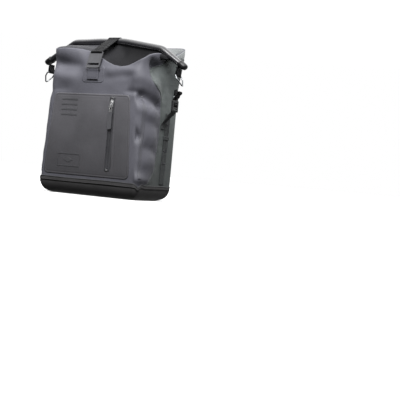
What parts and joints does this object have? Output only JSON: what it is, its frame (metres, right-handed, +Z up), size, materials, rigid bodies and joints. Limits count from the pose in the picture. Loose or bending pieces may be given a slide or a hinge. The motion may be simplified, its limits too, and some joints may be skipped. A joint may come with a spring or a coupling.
{
  "type": "roll-top saddle bag",
  "caption": "Welded waterproof roll-top saddle bag with a zipped outer pocket, moulded boot, hook buckles and a drilled rear mounting plate.",
  "frame": {"origin": "centre of the four bolt holes, on the rear face of the mounting plate", "axes": "+Z up, +Y out of the plate towards the vehicle, +X the bag's right seen from its outer face"},
  "size_m": [0.5121, 0.2159, 0.4815],
  "materials": {
    "shell_fabric": "coated, semi-matt",
    "boot_skin": "matt, fine grain",
    "pocket_fabric": "coated, semi-matt",
    "seam_tape": "smooth welded",
    "stiffener": "plain sheet",
    "plate_metal": "black anodised",
    "zip_skin": "glossy laminate",
    "bright_metal": "polished",
    "tab_rubber": "satin",
    "webbing": "woven",
    "buckle": "satin"
  },
  "bodies": {
    "bag": {"bottom_boot": "boot_skin", "base_board": "stiffener", "front_panel": "shell_fabric", "front_lean": "shell_fabric", "gusset_right": "shell_fabric", "gusset_left": "shell_fabric", "seam_tape_right": "seam_tape", "seam_tape_left": "seam_tape", "side_strip_right": "shell_fabric", "side_strip_left": "shell_fabric", "rear_panel": "shell_fabric", "back_board": "stiffener", "back_plate": "plate_metal", "plate_rivets": "plate_metal", "front_pocket": "pocket_fabric", "zip_coil": "zip_skin", "zip_tape_right": "zip_skin", "zip_tape_left": "zip_skin", "zip_stops": "bright_metal", "badge_frame": "seam_tape", "pocket_ribs": "seam_tape", "buckle_patch": "seam_tape", "patch_webbing": "webbing", "patch_bar": "bright_metal", "side_webbing_right": "webbing", "side_webbing_left": "webbing", "webbing_keeper_right": "webbing", "webbing_keeper_left": "webbing", "side_strap_right": "webbing", "side_strap_left": "webbing", "d_ring_loop_right": "webbing", "d_ring_loop_left": "webbing"},
    "zip_slider": {"zip_slider": "bright_metal"},
    "zip_pull": {"zip_pull": "bright_metal", "pull_tab": "tab_rubber"},
    "closure": {"neck_front": "shell_fabric", "neck_roof": "shell_fabric", "neck_side_right": "shell_fabric", "neck_side_left": "shell_fabric", "closure_roll": "shell_fabric", "roll_stay": "stiffener", "roll_end_right": "tab_rubber", "roll_end_left": "tab_rubber", "centre_strap": "webbing", "end_strap_right": "webbing", "end_strap_left": "webbing"},
    "front_hook": {"front_hook": "buckle"},
    "side_hook_right": {"side_hook_right": "bright_metal"},
    "side_hook_left": {"side_hook_left": "bright_metal"},
    "adjuster_right": {"ladder_lock_right": "buckle", "daisy_strap_right": "webbing"},
    "adjuster_left": {"ladder_lock_left": "buckle", "daisy_strap_left": "webbing"},
    "d_ring_right": {"d_ring_right": "bright_metal"},
    "d_ring_left": {"d_ring_left": "bright_metal"}
  },
  "joints": [
    {"name": "closure_hinge", "type": "hinge", "parent": "bag", "child": "closure", "pos_m": [0, -0.0045, 0.214], "axis": [-1, 0, 0], "range_deg": [0, 100]},
    {"name": "front_hook_swing", "type": "hinge", "parent": "closure", "child": "front_hook", "pos_m": [-0.008, -0.1974, 0.168], "axis": [-1, 0, 0], "range_deg": [0, 80]},
    {"name": "zip_slide", "type": "slide", "parent": "bag", "child": "zip_slider", "axis": [0, 0, -1], "range_m": [0, 0.178]},
    {"name": "zip_pull_swing", "type": "hinge", "parent": "zip_slider", "child": "zip_pull", "pos_m": [0.067, -0.2136, 0.02], "axis": [-1, 0, 0], "range_deg": [0, 150]},
    {"name": "side_hook_right_swing", "type": "hinge", "parent": "closure", "child": "side_hook_right", "pos_m": [0.217, -0.105, 0.119], "axis": [0, -1, 0], "range_deg": [-40, 50]},
    {"name": "adjuster_right_swing", "type": "hinge", "parent": "bag", "child": "adjuster_right", "pos_m": [0.206, -0.088, 0.018], "axis": [0, 1, 0], "range_deg": [0, 40]},
    {"name": "d_ring_right_swing", "type": "hinge", "parent": "bag", "child": "d_ring_right", "pos_m": [0.1722, -0.026, 0.066], "axis": [0, -1, 0], "range_deg": [0, 95]},
    {"name": "side_hook_left_swing", "type": "hinge", "parent": "closure", "child": "side_hook_left", "pos_m": [-0.238, -0.105, 0.119], "axis": [0, 1, 0], "range_deg": [-40, 50]},
    {"name": "adjuster_left_swing", "type": "hinge", "parent": "bag", "child": "adjuster_left", "pos_m": [-0.206, -0.088, 0.018], "axis": [0, -1, 0], "range_deg": [0, 40]},
    {"name": "d_ring_left_swing", "type": "hinge", "parent": "bag", "child": "d_ring_left", "pos_m": [-0.1722, -0.026, 0.066], "axis": [0, 1, 0], "range_deg": [0, 95]}
  ]
}
